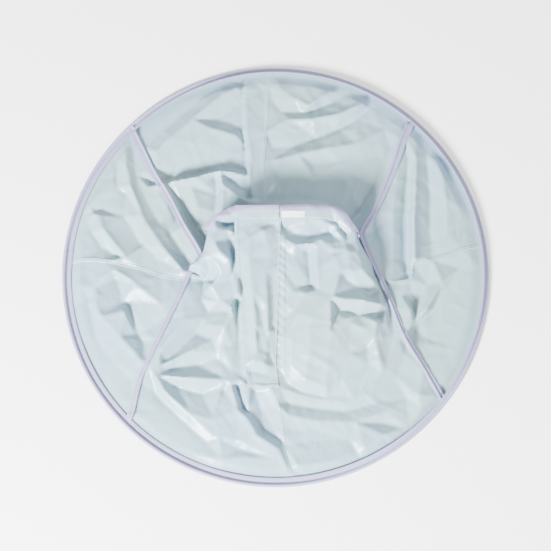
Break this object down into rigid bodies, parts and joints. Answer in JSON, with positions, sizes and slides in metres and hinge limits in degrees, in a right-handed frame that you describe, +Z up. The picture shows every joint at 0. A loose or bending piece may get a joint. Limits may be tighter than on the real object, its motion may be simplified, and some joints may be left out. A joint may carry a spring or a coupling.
{
  "type": "foldable hoop hair-cutting cape",
  "caption": "Round cape of thin coated cloth on a sprung wire hoop, with wire ribs, a neck sleeve, a placket flap and a collar with touch fastener.",
  "frame": {"origin": "centre of the hoop, on the surface that the cape lies on", "axes": "+Z up out of the laid-out cape, -Y towards the front opening, the collar's edge towards +Y"},
  "size_m": [0.65, 0.65, 0.0602],
  "materials": {
    "coated_cloth": "thin pale aqua polyester taffeta with a glossy waterproof coating, creased",
    "lilac_tape": "matt lilac-grey woven bias tape, folded and stitched",
    "thread": "white polyester sewing thread",
    "touch_fastener": "white woven hook and loop strip",
    "spring_wire": "sprung steel wire",
    "ferrule": "crimped steel tube",
    "end_caps": "soft moulded tip"
  },
  "bodies": {
    "cape": {"hoop_wire": "spring_wire", "hoop_ferrule": "ferrule", "rim_binding": "lilac_tape", "rim_binding_lap": "lilac_tape", "gore_back_right": "coated_cloth", "gore_back_left": "coated_cloth", "gore_front_left": "coated_cloth", "gore_front_right": "coated_cloth", "seam_right": "coated_cloth", "seam_back": "coated_cloth", "seam_left": "coated_cloth", "seam_front": "coated_cloth", "rib_wire_left": "spring_wire", "rib_wire_right": "spring_wire", "rib_binding_left": "lilac_tape", "rib_binding_right": "lilac_tape", "rib_end_caps": "end_caps", "rib_bar_tacks": "thread"},
    "neck": {"neck_sleeve_left": "coated_cloth", "neck_sleeve_right": "coated_cloth", "placket_underlap": "coated_cloth", "collar_band_left": "coated_cloth", "collar_band_right": "coated_cloth", "collar_binding_left": "lilac_tape", "collar_binding_right": "lilac_tape", "loop_strip": "touch_fastener", "hook_strip": "touch_fastener"},
    "flap": {"placket_flap": "coated_cloth", "placket_bottom_tack": "thread", "collar_overlap": "coated_cloth", "overlap_binding": "lilac_tape"}
  },
  "joints": [
    {"name": "neck_raise", "type": "hinge", "parent": "cape", "child": "neck", "pos_m": [0.01, -0.1835, 0.008], "axis": [1, 0, 0], "range_deg": [0, 60]},
    {"name": "flap_open", "type": "hinge", "parent": "neck", "child": "flap", "pos_m": [0.0054, 0, 0.0411], "axis": [0, 0.9871, 0.1601], "range_deg": [0, 140]}
  ]
}
